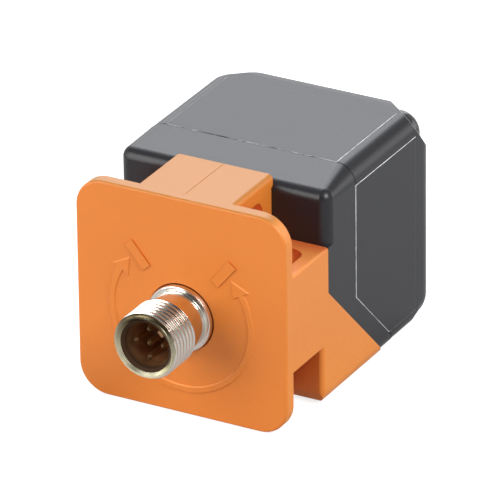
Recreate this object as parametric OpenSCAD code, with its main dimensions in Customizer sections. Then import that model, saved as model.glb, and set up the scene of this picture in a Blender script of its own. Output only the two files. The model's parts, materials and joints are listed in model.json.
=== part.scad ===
// Cube-shaped inductive proximity sensor with a turnable round plug.
// Millimetres. X runs across, Y from the plug to the sensing face, Z up.

/* [Overall] */
// Width and height of the end plate and of the head
side = 40; // [38:0.5:46]
// Length from the end plate's front face to the sensing face
body_len = 54; // [53:0.5:66]

/* [End plate] */
// Thickness of the end plate
plate_t = 2.2; // [1.8:0.1:3]
// Corner radius of the end plate
plate_corner_r = 5.4; // [3:0.1:7]
// Rounding of the end plate's front edge
plate_edge_r = 0.5; // [0.2:0.1:0.8]

/* [Neck] */
// Distance from the end plate's front face to the head
neck_end = 14.7; // [14.4:0.1:17]
// Width of the upright web, whose upper end is the tab
web_w = 18.6; // [17:0.2:22]
// Rounding of the web's outer edges
web_edge_r = 1; // [0.4:0.1:1.5]
// Depth of the open corners beside the tab, from the top
upper_gap = 10.9; // [9:0.1:12]
// Depth of the open corners beside the web, from the bottom
lower_gap = 11.4; // [9:0.1:12]
// Rounding of the arms' upper edges
arm_edge_r = 0.5; // [0.3:0.1:2.5]
// Length of the tab's lip over the head's front edge
lip_len = 0.6; // [0.3:0.1:1]
// Thickness of the tab's lip
lip_t = 2.2; // [1.5:0.1:3]
// Width of the mould line on the tab's top
seam_w = 0.16; // [0.1:0.02:0.3]
// Depth of the mould line on the tab's top
seam_depth = 0.04; // [0.02:0.01:0.2]

/* [Corner reliefs] */
// Radius of the round relief in each upper open corner
relief_r = 5.7; // [5:0.1:6.2]
// Distance of the reliefs' axis from the side face
relief_side = 6.6; // [6:0.1:7]
// Distance of the reliefs' axis from the top
relief_top = 7; // [6.5:0.1:8]
// Length of the reliefs, from the end plate's back
relief_len = 9.8; // [8:0.1:11]
// Rounding at the reliefs' inner end
relief_end_r = 2.5; // [1:0.1:3]

/* [Foot] */
// Distance from the end plate's front face to the foot
foot_front = 12.7; // [11:0.1:13.5]
// Where the slanted joint meets the bottom, from the end plate's front face
slant_foot = 35.4; // [34:0.1:37]
// Rounding of the foot's lower edges
foot_r = 2.8; // [1:0.1:4]
// Rounding of the foot's upright front edges
foot_edge_r = 1; // [0.4:0.1:1.6]
// Wall around the pocket inside the foot
foot_wall = 2.4; // [2:0.1:3]
// Thickness of the ribs in the foot's pocket
foot_rib_t = 1.8; // [1.2:0.1:2.4]

/* [Head] */
// Rounding of the head's long edges
head_edge_r = 3.5; // [3:0.1:4.5]
// Rounding of the head's free front edges and of its front corners
head_front_r = 2.1; // [1:0.1:2.8]
// Drop of the head's top from the parting line to the front
shell_drop = 1.3; // [0.4:0.1:1.6]
// Rounding around the sensing face
face_edge_r = 5; // [4:0.1:5.5]
// Wall of the head
wall = 2.2; // [1.8:0.1:2.6]
// Thickness behind the sensing face
face_t = 1.5; // [1:0.1:2]
// Depth of the front shell, from the head's front to the parting line
shell_depth = 10; // [8:0.1:12]
// Depth of the front shell's slanted part
skirt_depth = 3.4; // [2.8:0.1:4]
// Width of the groove along the parting line
parting_w = 0.25; // [0.15:0.05:0.8]
// Depth of the groove along the parting line
parting_depth = 0.4; // [0.2:0.1:0.8]
// Length of the front shell's tongue inside the cap
tongue_len = 1.6; // [1:0.1:1.8]
// Thickness of the gasket at the tongue's end
cap_gasket_t = 0.8; // [0.5:0.1:0.9]

/* [Raised panels] */
// Rise of the flat panels above the cap's sides
panel_rise = 0.06; // [0.03:0.01:0.3]
// Distance of the panels' borders from the head's sides
panel_inset = 3.7; // [3.7:0.1:6]
// Distance of the panels' rear borders from the sensing face
panel_rear = 7.8; // [6:0.1:12]

/* [Corner windows] */
// Cut of the rear corners, measured across the head
corner_cut_side = 11.2; // [10.8:0.1:11.8]
// Cut of the rear corners, measured along the head
corner_cut_len = 9.7; // [9.4:0.1:10.2]
// Wall behind the cut corners
corner_wall = 1.6; // [1.2:0.1:2]
// Radius of the domed windows
window_r = 3; // [2.2:0.1:3.1]
// Height of the windows' domes
window_rise = 1.35; // [0.5:0.05:1.5]
// Radius of the windows' light-guiding stems
window_stem_r = 1.6; // [1.2:0.1:1.7]
// Length of the stems, from the cut corners inwards
window_stem_len = 5; // [4:0.1:6]

/* [Plug] */
// Height of the plug's axis above the bottom
plug_z = 18.1; // [17.6:0.1:18.6]
// Distance of the plug's rim in front of the end plate
plug_out = 12.7; // [12:0.1:16]
// Crest radius of the thread, which is M12
thread_r = 6; // [5.8:0.1:6.2]
// Length of the smooth collar in front of the end plate
collar_len = 1; // [0.6:0.1:3]
// Radius of the collar
collar_r = 6; // [5.8:0.1:6.2]
// Gap around the collar in the end plate
collar_gap = 0.2; // [0.15:0.05:0.4]
// Depth of the collar's seat in the end plate
collar_seat = 0.8; // [0.5:0.1:1.2]
// Radius of the neck between the collar and the thread
undercut_r = 5.2; // [5:0.1:5.4]
// Length of the neck between the collar and the thread
undercut_len = 4.7; // [2:0.1:5]
// Outer radius of the plug's rim
rim_r = 5.45; // [5.3:0.05:5.6]
// Radius of the plug's mouth at the rim
mouth_r = 5.2; // [5:0.05:5.25]
// Radius of the plug's bore
plug_bore_r = 4.25; // [4.1:0.05:4.3]
// Depth of the contact chamber, from the rim
chamber_depth = 9; // [7:0.1:10]
// Radius of the barrel that turns in the base
barrel_r = 5.58; // [5.5:0.01:5.7]
// Radial running clearance of the barrel
running_gap = 0.04; // [0.02:0.01:0.08]
// Turning range of the plug to each side, in degrees
turn_limit = 135; // [90:1:140]

/* [Plug inner parts] */
// Length of the guide bore, from the end plate's front face
guide_end = 8.2; // [8:0.1:8.6]
// Thickness of the retaining ring
ring_t = 0.75; // [0.6:0.05:0.8]
// Outer radius of the retaining ring
ring_out_r = 6.9; // [6.6:0.1:7]
// Depth of the retaining ring's groove
ring_groove = 0.6; // [0.4:0.1:0.7]
// Radius of the stop lug
lug_r = 7.2; // [7:0.1:7.3]
// Length of the stop lug along the axis
lug_len = 1.2; // [0.8:0.1:1.4]
// Half of the angle that the stop lug covers, in degrees
lug_half = 20; // [12:1:22]
// Radius of the room behind the guide bore
room_r = 7.6; // [7.5:0.1:8]
// Wall between that room and the head
room_wall = 1; // [0.8:0.1:1.4]
// Distance of the seal ring from the end plate's front face
seal_y = 4.6; // [3:0.1:6]
// Section radius of the seal ring
seal_cord_r = 0.42; // [0.35:0.01:0.45]
// Radius of the contact pins
pin_r = 0.5; // [0.4:0.05:0.5]
// Radius of the circle that the outer pins stand on
pin_circle_r = 2.6; // [2.4:0.1:2.8]
// Distance of the pins' tips behind the rim
pin_back = 1.6; // [1:0.1:3]
// Radius of the pins' solder tails
pin_tail_r = 0.4; // [0.25:0.05:0.4]
// Length of the solder tails behind the barrel
pin_tail_len = 0.4; // [0.2:0.1:0.6]
// Radius of the contact carrier's flange
flange_r = 4.6; // [4.5:0.1:4.8]
// Distance of the coding key behind the rim
key_back = 1; // [1:0.1:2]
// Width of the coding key
key_w = 1.2; // [1:0.1:1.6]
// Height of the coding key above the bore's wall
key_h = 0.75; // [0.5:0.05:0.9]

/* [Joining] */
// Width of the port for the lead wires
port_w = 10; // [8:0.5:11]
// Height of the port for the lead wires
port_h = 8; // [6:0.5:8.5]
// Height of the port's centre above the bottom
port_z = 27.5; // [27.5:0.1:28.5]
// Width of the gasket around the port
gasket_w = 1.6; // [1:0.1:1.8]
// Thickness of the gasket around the port
gasket_t = 0.8; // [0.5:0.1:1.2]
// Radius of the head screw, which is M4
screw_r = 2; // [1.5:0.1:2]
// Radius of the head screw's head
screw_head_r = 3.5; // [3:0.1:3.6]
// Height of the head screw's head
screw_head_h = 4; // [3:0.1:4]
// Width of the head screw's socket across its flats
socket_w = 3; // [2:0.5:3]
// Length of the base that the screw clamps
screw_grip = 5; // [4:0.1:6]
// Length of the screw in the head
screw_bite = 7; // [5:0.1:7.4]
// Outer radius of the threaded insert
insert_r = 2.8; // [2.7:0.1:3]
// Length of the threaded insert
insert_len = 7.6; // [7.5:0.1:8.5]
// Wall of the bosses around the screw and its insert
boss_wall = 1.6; // [1.2:0.1:2]

/* [Sensing parts] */
// Distance of the coil carrier from the cap's side walls
carrier_side = 1.5; // [1.5:0.1:2.5]
// Height of the ferrite core
core_h = 8; // [7:0.1:8.5]
// Wall of the ferrite core's rim
core_rim = 2.4; // [2:0.1:3]
// Thickness of the ferrite core's back
core_back = 2.2; // [1.8:0.1:3]
// Radius of the ferrite core's post
core_post_r = 5.8; // [5:0.1:6.5]
// Radius of the hole through the ferrite core's post
core_hole_r = 1.6; // [1:0.1:2]
// Distance of the winding from the bobbin's rim
coil_inset = 0.6; // [0.3:0.1:1]
// Radius of the coil's tails
coil_tail_r = 0.25; // [0.15:0.05:0.35]
// Radius of the holes for the coil's tails
tail_hole_r = 0.8; // [0.5:0.1:1]
// Thickness of the bobbin's walls
bobbin_t = 0.6; // [0.4:0.1:0.8]
// Thickness of the screening ring
screen_t = 0.4; // [0.2:0.1:0.4]
// Wall of the coil carrier
carrier_t = 0.8; // [0.6:0.1:0.8]
// Thickness of the coil carrier's floor
carrier_floor = 1; // [0.8:0.1:1.4]

/* [Fits] */
// Radial clearance of pressed-in and glued-in parts
press_gap = 0.02; // [0.01:0.01:0.03]
// Clearance between the other inner parts
fit_gap = 0.05; // [0.03:0.01:0.08]
// Free space around moving and loose parts
free_gap = 0.3; // [0.2:0.05:0.4]
// Radial clearance around the head screw
screw_gap = 0.2; // [0.1:0.05:0.3]

/* [Board] */
// Thickness of the board
board_t = 1.6; // [1:0.1:2]
// Gap between the board's edges and the cap's walls
board_gap = 0.3; // [0.2:0.1:0.5]
// Width of the ribs that hold the board
rib_w = 3; // [2:0.1:5]
// Height of the ribs that hold the board
rib_h = 1.4; // [0.8:0.1:1.4]
// Length of the ribs in front of the board
rib_hook = 1.8; // [1:0.1:3]
// Width of the square indicator lamps
lamp_w = 2.8; // [2:0.1:3]
// Height of the indicator lamps
lamp_h = 1.9; // [1:0.1:2]
// Width of the square control chip
chip_w = 7; // [5:0.5:8]
// Thickness of the control chip
chip_t = 1.2; // [0.8:0.1:1.6]
// Width and height of the output switch
switch_w = 6.5; // [5:0.1:7]
// Thickness of the output switch
switch_t = 2.3; // [1.5:0.1:2.5]
// Radius of the smoothing capacitor's can
can_r = 3; // [2:0.1:3.2]
// Height of the smoothing capacitor
can_h = 5.5; // [4:0.1:6]
// Thickness of the smoothing capacitor's foot
can_foot_t = 1; // [0.6:0.1:1.2]
// Width of the protection diodes
diode_w = 2.6; // [1.6:0.1:3]
// Length of the protection diodes
diode_len = 4.3; // [3:0.1:5]
// Thickness of the protection diodes
diode_t = 1.1; // [0.8:0.1:2]
// Height of the lead wires' pads above the head's axis
pad_rise = 8; // [7:0.5:9]
// Radius of the lead wires
lead_r = 0.55; // [0.4:0.05:0.6]
// Spacing of the lead wires in the port
lead_step = 1.5; // [1.3:0.1:1.7]

/* [Hidden] */
$fn = 64;

// Reach of cutting shapes past the faces that they cut
over = 1;
// Small step that keeps a rounding from ending exactly tangent to its faces
nip = 0.01;
// Factor from a thickness to its length along the slanted joint's foot
slope = sqrt(2);

// The frame's origin is under the middle of the whole length, at the bottom
mid_y = (body_len - plug_out) / 2;

// Heights of the neck's arms
arm_top = side - upper_gap;
arm_bottom = lower_gap;

// Corner of the bent joint between the base and the head
slant_top = slant_foot - neck_end;

// Parting line between the front shell and the cap
part_y = neck_end + shell_depth;
part_foot = slant_foot + skirt_depth * slope;

// Slope of the front shell's top, its corner ball, and the end of the rounding along its side edge
shell_tilt = atan(shell_drop / shell_depth);
ball_y = neck_end + head_front_r;
front_ball = [side / 2 - head_front_r, ball_y, shell_top(ball_y) - head_front_r / cos(shell_tilt)];
edge_end = [side / 2 - head_edge_r, part_y, side - head_edge_r / cos(shell_tilt)];

// Inner stations behind the sensing face
core_front = body_len - face_t - fit_gap;
core_rear = core_front - core_h;
board_rear = core_rear - fit_gap - carrier_floor;
board_front = board_rear - board_t;
bobbin_rear = core_rear + core_back + fit_gap;
axis_z = side / 2;
room_half = side / 2 - wall;
core_r = room_half - carrier_side - carrier_t - screen_t - 2 * fit_gap;
window_out_r = core_r - core_rim;

// Cut rear corners: unit normal, and centre of the cut face from the head's axis
cut_sum = norm([1 / corner_cut_side, 1 / corner_cut_len, 1 / corner_cut_side]);
cut_n = [1 / corner_cut_side, 1 / corner_cut_len, 1 / corner_cut_side] / cut_sum;
ball = [side / 2 - face_edge_r, body_len - face_edge_r, side / 2 - face_edge_r];
cut_mid = ball + cut_n * (face_edge_r * (cut_n[0] + cut_n[1] + cut_n[2]) - 1 / cut_sum);

// Distance of the indicator lamps from the head's axis, each way: at the inner ends of the windows' stems
lamp_offset = cut_mid[0] - window_stem_len * cut_n[0];

// Stations of the plug, from the end plate's front face
thread_end = -collar_len - undercut_len;
chamber_floor = chamber_depth - plug_out;
ring_front = guide_end + fit_gap;
lug_front = ring_front + ring_t + free_gap;
barrel_end = lug_front + lug_len;
pin_tail_end = barrel_end + pin_tail_len;
pin_spots = [[0, 0], [0, pin_circle_r], [pin_circle_r, 0], [0, -pin_circle_r], [-pin_circle_r, 0]];
carrier_r = plug_bore_r - press_gap;
flange_front = lug_front + press_gap;

// Room for the turning plug: its end, and half of the angle that the fixed stop covers
room_end = neck_end - room_wall;
half_turn = 180;
stop_play = 1;
stop_half = half_turn - turn_limit - lug_half - stop_play;

// Spots of the board's components, across and up from the head's axis
chip_spot = [-8, -3];
switch_spot = [8, -9];
can_spot = [8, 0];
diode_spots = [[-4, -11], [0, -11]];

// Middle of the slanted joint, where the head screw crosses it
screw_y = (neck_end + slant_foot) / 2;
screw_z = slant_top / 2;

// Colours
orange = [0.91, 0.54, 0.27];
black = [0.16, 0.16, 0.17];
smoked = [0.2, 0.17, 0.12];
nickel = [0.8, 0.8, 0.78];
gold = [0.83, 0.66, 0.3];
rubber = [0.1, 0.1, 0.1];
steel = [0.6, 0.6, 0.62];
ferrite = [0.25, 0.24, 0.24];
copper = [0.72, 0.42, 0.25];
natural = [0.85, 0.83, 0.76];
board_green = [0.1, 0.36, 0.2];
lamp_white = [0.93, 0.92, 0.85];

// Moves a shape drawn from the end plate's front face into the frame
module in_frame() {
  translate([0, -mid_y, 0]) children();
}

// Extrudes an upright section, drawn across and up, along Y
module extrude_y(from, to) {
  translate([0, to, 0]) rotate([90, 0, 0]) linear_extrude(to - from) children();
}

// Extrudes a side view, drawn along and up, across the whole width
module extrude_x(half) {
  translate([-half, 0, 0]) rotate([90, 0, 90]) linear_extrude(2 * half) children();
}

// Turns a profile, drawn as radius and Y, about the plug's axis
module turn_y(angle = 360) {
  translate([0, 0, plug_z]) rotate([-90, 0, 0]) rotate_extrude(angle = angle) children();
}

// Places round parts on the head's axis, with their profile's height along Y
module head_axis() {
  translate([0, 0, axis_z]) rotate([-90, 0, 0]) children();
}

// Square ring section between two radii and two stations
module band(r0, r1, from, to) {
  translate([r0, from]) square([r1 - r0, to - from]);
}

// Rounded rectangle, centred
module rounded(w, h, r) {
  square([w - 2 * r, h], center = true);
  square([w, h - 2 * r], center = true);
  for (x = [-1, 1], y = [-1, 1]) {
    translate([x * (w / 2 - r), y * (h / 2 - r)]) circle(r);
  }
}

// Strip with rounded corners at its far end, centred on its width
module round_ended(from, to, w, r) {
  translate([from, -w / 2]) square([to - from - r, w]);
  translate([from, r - w / 2]) square([to - from, w - 2 * r]);
  for (s = [-1, 1]) {
    translate([to - r, s * (w / 2 - r)]) circle(r);
  }
}

// What a rounding takes off an edge: side face at e, front face at 0
module edge_waste(e) {
  difference() {
    translate([0, -over]) square([e + over, e + over]);
    translate([nip, e - nip]) circle(e);
  }
}

// Waste of a rounding along a top edge, from x0 to x1
module top_edge_waste(e, x0, x1, top) {
  translate([x1, 0, top - e]) rotate([0, -90, 0]) linear_extrude(x1 - x0) edge_waste(e);
}

// Waste of a rounding that follows a corner of radius r
module corner_edge_waste(e, r, half, top) {
  translate([half - r, 0, top - r]) rotate([-90, 0, 0]) rotate([0, 0, -90])
    rotate_extrude(angle = 90) translate([r - e, 0]) edge_waste(e);
}

// Everything behind a bent face: upright at y, then slanted down to foot
module behind(y, foot) {
  extrude_x(side) polygon([
    [y, side + over], [y, foot - y], [foot + over, -over],
    [body_len + over, -over], [body_len + over, side + over]
  ]);
}

// Everything between two parallel bent faces, t apart, behind the first
module bent_layer(y, foot, t) {
  difference() {
    behind(y, foot);
    behind(y + t, foot + t * slope);
  }
}

// Places a shape on a cut rear corner, with +Z out of the cut face
module on_corner(sx, sz) {
  translate([0, 0, axis_z])
    mirror([sx < 0 ? 1 : 0, 0, 0]) mirror([0, 0, sz < 0 ? 1 : 0])
      translate(cut_mid) rotate([0, acos(cut_n[2]), atan2(cut_n[1], cut_n[0])]) children();
}

// What the four rear corners lose, with the cut moved inwards by depth
module corner_waste(depth) {
  for (sx = [-1, 1], sz = [-1, 1]) {
    on_corner(sx, sz) translate([-side / 2, -side / 2, -depth]) cube(side);
  }
}

// Places a shape on the head screw's axis, with +Z from the base into the head
module on_screw() {
  translate([0, screw_y, screw_z]) rotate([-45, 0, 0]) children();
}

// End plate with a softened front edge
module end_plate() {
  difference() {
    translate([0, 0, axis_z]) extrude_y(0, plate_t) rounded(side, side, plate_corner_r);
    for (turn = [0:90:270]) {
      translate([0, 0, axis_z]) rotate([0, turn, 0]) {
        straight = side / 2 - plate_corner_r;
        top_edge_waste(plate_edge_r, -straight, straight, side / 2);
        corner_edge_waste(plate_edge_r, plate_corner_r, side / 2, side / 2);
      }
    }
  }
}

// Upright web, with the tab at its upper end and the lip on the tab
module web() {
  translate([0, 0, axis_z]) extrude_y(plate_t, neck_end) rounded(web_w, side, web_edge_r);
  intersection() {
    translate([0, 0, axis_z]) extrude_y(plate_t, neck_end + lip_len) rounded(web_w, side, web_edge_r);
    translate([-web_w / 2, plate_t, side - lip_t]) cube([web_w, neck_end, lip_t]);
  }
}

// Section of the arms, with rounded upper edges
module arm_section() {
  translate([-side / 2, arm_bottom]) square([side, arm_top - arm_bottom - arm_edge_r]);
  translate([arm_edge_r - side / 2, arm_bottom]) square([side - 2 * arm_edge_r, arm_top - arm_bottom]);
  for (s = [-1, 1]) {
    translate([s * (side / 2 - arm_edge_r), arm_top - arm_edge_r]) circle(arm_edge_r);
  }
}

// Foot below the arms, with round lower edges and softened upright front edges
module foot() {
  start = foot_front + foot_r;
  difference() {
    intersection() {
      extrude_y(foot_front, slant_foot) translate([0, arm_bottom]) rounded(side, 2 * arm_bottom, foot_r);
      extrude_x(side) {
        translate([start, 0]) square([slant_foot - start, arm_bottom]);
        translate([foot_front, foot_r]) square([slant_foot - foot_front, arm_bottom - foot_r]);
        translate([start, foot_r]) circle(foot_r);
      }
    }
    for (s = [0, 1]) mirror([s, 0, 0])
      translate([side / 2 - foot_edge_r, foot_front, -over]) linear_extrude(arm_bottom + 2 * over)
        edge_waste(foot_edge_r);
  }
}

// Round relief in an upper open corner, with a rounded inner end
module corner_relief() {
  reach = relief_len - relief_end_r;
  translate([side / 2 - relief_side, plate_t, side - relief_top]) rotate([-90, 0, 0])
    rotate_extrude() {
      square([relief_r, reach]);
      square([relief_r - relief_end_r, relief_len]);
      intersection() {
        translate([relief_r - relief_end_r, reach]) circle(relief_end_r);
        square([relief_r, relief_len]);
      }
    }
}

// Pocket inside the foot, open to the slanted joint, with two ribs
module foot_pocket() {
  start = neck_end + foot_wall;
  difference() {
    extrude_x(side / 2 - foot_wall) polygon([
      [start, foot_wall], [slant_foot + over, foot_wall], [slant_foot + over, slant_top],
      [start, slant_top]
    ]);
    for (s = [-1, 1]) {
      translate([s * web_w / 2 - foot_rib_t / 2, start - over, 0]) cube([foot_rib_t, slant_foot, side]);
    }
    on_screw() translate([0, 0, -screw_y]) cylinder(h = screw_y, r = screw_head_r + boss_wall);
  }
}

// Bore, room and stop for the turning plug, and the way out for the leads
module plug_room() {
  turn_y() {
    band(0, collar_r + collar_gap, -over, collar_seat);
    band(0, barrel_r + running_gap, 0, guide_end + over);
  }
  difference() {
    turn_y() band(0, room_r, guide_end, room_end);
    translate([0, 0, plug_z]) rotate([-90, 0, 0]) rotate([0, 0, 90 - stop_half])
      rotate_extrude(angle = 2 * stop_half)
        band(barrel_r + free_gap, room_r + over, lug_front - fit_gap, room_end + over);
  }
  way_top = port_z + port_h / 2;
  translate([-port_w / 2, barrel_end, plug_z]) cube([port_w, neck_end, way_top - plug_z]);
}

// One moulding: end plate, web with tab, arms and foot
module base_body() {
  color(orange) in_frame() difference() {
    union() {
      end_plate();
      difference() {
        union() {
          web();
          extrude_y(plate_t, slant_foot) arm_section();
          foot();
        }
        behind(neck_end + lip_len, slant_foot + lip_len);
        difference() {
          behind(neck_end, slant_foot);
          translate([-side, 0, side - lip_t]) cube([2 * side, side, lip_t + over]);
        }
      }
    }
    for (s = [0, 1]) mirror([s, 0, 0]) corner_relief();
    plug_room();
    foot_pocket();
    translate([-seam_w / 2, plate_t, side - seam_depth])
      cube([seam_w, neck_end + lip_len, seam_depth + over]);
    on_screw() translate([0, 0, -side]) cylinder(h = side + over, r = screw_r + screw_gap);
    on_screw() translate([0, 0, -side - screw_grip]) cylinder(h = side, r = screw_head_r + free_gap);
  }
}

// Outer form of the head, set in from its sides
module head_form(inset) {
  wide = side - 2 * inset;
  intersection() {
    translate([0, 0, axis_z]) extrude_y(neck_end, body_len) rounded(wide, wide, head_edge_r - inset);
    translate([0, 0, axis_z]) extrude_x(side) round_ended(0, body_len, wide, face_edge_r);
    translate([0, 0, -over]) rotate([0, 0, 90]) linear_extrude(side + 2 * over)
      round_ended(0, body_len, wide, face_edge_r);
  }
}

// Section of the head's room, grown outwards by a part of the wall
module room_section(grow) {
  size = 2 * (room_half + grow);
  translate([0, axis_z]) rounded(size, size, head_edge_r - wall + grow);
}

// Room inside the head, behind its front and slanted walls
module head_room() {
  difference() {
    intersection() {
      extrude_y(neck_end, body_len - face_t) room_section(0);
      behind(neck_end + wall, slant_foot + wall * slope);
    }
    corner_waste(corner_wall);
  }
}

// Height of the front shell's top at a station
function shell_top(y) = side - shell_drop * (part_y - y) / shell_depth;

// Everything below the front shell's sloping top, or below a face that lies deeper
module under_slope(depth) {
  extrude_x(side) polygon([
    [neck_end - over, -over], [neck_end - over, shell_top(neck_end - over) - depth], [part_y, side - depth],
    [body_len, side - depth], [body_len, -over]
  ]);
}

// Waste of the rounding along the front shell's upper front edge, outside the tab
module upper_front_waste() {
  away = head_front_r + over;
  translate([side / 4 + web_w / 4, 0, 0]) extrude_x(side / 4 - web_w / 4 + over / 2) difference() {
    polygon([
      [ball_y, front_ball[2]], [neck_end - over, front_ball[2]], [neck_end - over, side + over],
      [ball_y - away * sin(shell_tilt), front_ball[2] + away * cos(shell_tilt)]
    ]);
    translate([ball_y - nip, front_ball[2] + nip]) circle(head_front_r);
  }
}

// Waste of the rounding along the front shell's sloping side edge, which narrows to a ball corner
module sloping_edge_waste() {
  way = edge_end - front_ball;
  flare = asin((head_edge_r - head_front_r) / norm(way));
  ball_r = head_front_r / cos(flare);
  reach = norm(way) + over;
  translate(front_ball) rotate([atan2(way[2], norm([way[0], way[1]])) - 90, 0, atan2(-way[0], way[1])])
    difference() {
      translate([0, -side, -side]) cube([side, side, side + reach]);
      translate([nip, -nip, 0]) {
        sphere(ball_r);
        cylinder(h = reach, r1 = ball_r, r2 = ball_r + reach * tan(flare));
      }
    }
}

// Outer form of the front shell: upright sides, a sloping top and round edges where it stands free
module shell_form() {
  difference() {
    intersection() {
      extrude_y(neck_end, body_len) {
        translate([0, axis_z]) rounded(side, side, head_edge_r);
        translate([-side / 2, axis_z]) square([side, side / 2]);
      }
      behind(neck_end, slant_foot);
      under_slope(0);
    }
    behind(part_y, part_foot);
    for (s = [0, 1]) mirror([s, 0, 0]) {
      upper_front_waste();
      sloping_edge_waste();
      translate([side / 2 - head_front_r, neck_end, arm_top]) linear_extrude(side) edge_waste(head_front_r);
    }
  }
}

// Front shell: bent front of the head, with a tongue that enters the cap
module front_shell() {
  color(black) in_frame() difference() {
    union() {
      difference() {
        shell_form();
        difference() {
          bent_layer(part_y - parting_w, part_foot - parting_w * slope, parting_w + over);
          extrude_y(0, body_len) room_section(wall - parting_depth);
        }
        intersection() {
          head_room();
          under_slope(wall);
        }
      }
      intersection() {
        difference() {
          extrude_y(part_y - over, body_len) room_section(wall / 2 - fit_gap);
          head_room();
        }
        bent_layer(part_y - over, part_foot - over * slope, tongue_len + over);
      }
      intersection() {
        on_screw() cylinder(h = insert_len + boss_wall, r = insert_r + boss_wall);
        behind(neck_end, slant_foot);
      }
    }
    translate([-web_w / 2 - fit_gap, 0, side - lip_t - fit_gap])
      cube([web_w + 2 * fit_gap, neck_end + lip_len + fit_gap, lip_t + over]);
    translate([-port_w / 2, 0, port_z - port_h / 2]) cube([port_w, part_y, port_h]);
    translate([0, 0, port_z]) extrude_y(0, neck_end + gasket_t) port_section(gasket_w);
    on_screw() translate([0, 0, -over]) cylinder(h = insert_len + over + fit_gap, r = insert_r + press_gap);
  }
}

// Section of the lead port, grown by the gasket's width
module port_section(grow) {
  rounded(port_w + 2 * grow, port_h + 2 * grow, gasket_w);
}

// Two crossed blocks that stand proud of the cap's sides as flat panels
module panel_form() {
  panel_w = side - 2 * panel_inset;
  panel_end = body_len - panel_rear;
  intersection() {
    behind(part_y, part_foot);
    union() {
      translate([-panel_w / 2, 0, 0]) cube([panel_w, panel_end, side]);
      translate([-side / 2, 0, panel_inset]) cube([side, panel_end, panel_w]);
    }
  }
}

// Ribs inside the cap that hold the board by its edges, the lowest one only from behind
module board_ribs() {
  rib_root = 0.3;
  for (turn = [0:90:270]) {
    front = board_front - (turn == 180 ? 0 : rib_hook);
    translate([0, 0, axis_z]) rotate([0, turn, 0]) translate([-rib_w / 2, front, room_half - rib_h])
      cube([rib_w, body_len - face_edge_r - front, rib_h + rib_root]);
  }
}

// Slot for the board in the ribs
module board_slot() {
  slot_w = 2 * (room_half - board_gap) + 2 * fit_gap;
  translate([-slot_w / 2, board_front - fit_gap, axis_z - slot_w / 2])
    cube([slot_w, board_t + 2 * fit_gap, slot_w]);
}

// Cap with the sensing face, raised panels and seats for the corner windows
module sensing_cap() {
  color(black) in_frame() difference() {
    union() {
      difference() {
        union() {
          intersection() {
            head_form(panel_rise);
            behind(part_y, part_foot);
          }
          panel_form();
        }
        corner_waste(0);
        head_room();
        intersection() {
          extrude_y(0, body_len) room_section(wall / 2);
          bent_layer(part_y - over, part_foot - over * slope, over + tongue_len + cap_gasket_t);
        }
      }
      board_ribs();
    }
    board_slot();
    for (sx = [-1, 1], sz = [-1, 1]) {
      on_corner(sx, sz) translate([0, 0, -window_stem_len]) cylinder(h = side, r = window_stem_r + press_gap);
    }
  }
}

// Domed window with its light-guiding stem
module corner_window(sx, sz) {
  dome_r = (window_r * window_r + window_rise * window_rise) / (2 * window_rise);
  color(smoked) in_frame() on_corner(sx, sz) rotate_extrude() {
    translate([0, -window_stem_len]) square([window_stem_r, window_stem_len]);
    intersection() {
      translate([0, window_rise - dome_r]) circle(dome_r);
      square([window_r, window_rise]);
    }
  }
}

// Metal shell of the plug, with the barrel, grooves and stop lug behind
module connector_shell() {
  edge = 0.2;
  seal_half = seal_cord_r + 0.2;
  color(nickel) in_frame() difference() {
    union() {
      turn_y() polygon([
        [0, -plug_out], [rim_r, -plug_out], [thread_r, -plug_out + thread_r - rim_r],
        [thread_r, thread_end - edge], [undercut_r, thread_end], [undercut_r, -collar_len],
        [collar_r - edge, -collar_len], [collar_r, edge - collar_len], [collar_r, collar_seat - fit_gap],
        [barrel_r, collar_seat - fit_gap], [barrel_r, barrel_end], [0, barrel_end]
      ]);
      translate([0, 0, plug_z]) rotate([-90, 0, 0]) rotate([0, 0, -90 - lug_half])
        rotate_extrude(angle = 2 * lug_half) band(barrel_r - over / 2, lug_r, lug_front, barrel_end);
    }
    turn_y() {
      polygon([
        [0, -plug_out - over], [mouth_r + over, -plug_out - over],
        [plug_bore_r, mouth_r - plug_bore_r - plug_out], [0, mouth_r - plug_bore_r - plug_out]
      ]);
      band(0, plug_bore_r, -plug_out, barrel_end + over);
      band(0, flange_r, flange_front, barrel_end + over);
      band(barrel_r - ring_groove, lug_r, ring_front, ring_front + ring_t + fit_gap);
      band(seal_root(), lug_r, seal_y - seal_half, seal_y + seal_half);
    }
  }
}

// Radius of the bottom of the seal ring's groove
function seal_root() = barrel_r + running_gap - 2 * (seal_cord_r + press_gap);

// Moulded carrier that holds the pins, with the coding key
module contact_carrier() {
  color(black) in_frame() difference() {
    union() {
      turn_y() {
        band(0, carrier_r, chamber_floor, barrel_end - free_gap);
        band(0, flange_r - press_gap, flange_front + fit_gap, barrel_end - free_gap);
      }
      translate([0, 0, plug_z]) intersection() {
        rotate([-90, 0, 0]) translate([0, 0, key_back - plug_out]) cylinder(h = chamber_depth, r = carrier_r);
        rotate([0, -45, 0]) translate([plug_bore_r - key_h, -plug_out, -key_w / 2])
          cube([key_h, chamber_depth + over, key_w]);
      }
    }
    for (spot = pin_spots) {
      translate([spot[0], chamber_floor - over, plug_z + spot[1]]) rotate([-90, 0, 0])
        cylinder(h = barrel_end - chamber_floor + 2 * over, r = pin_r + press_gap);
    }
  }
}

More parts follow.
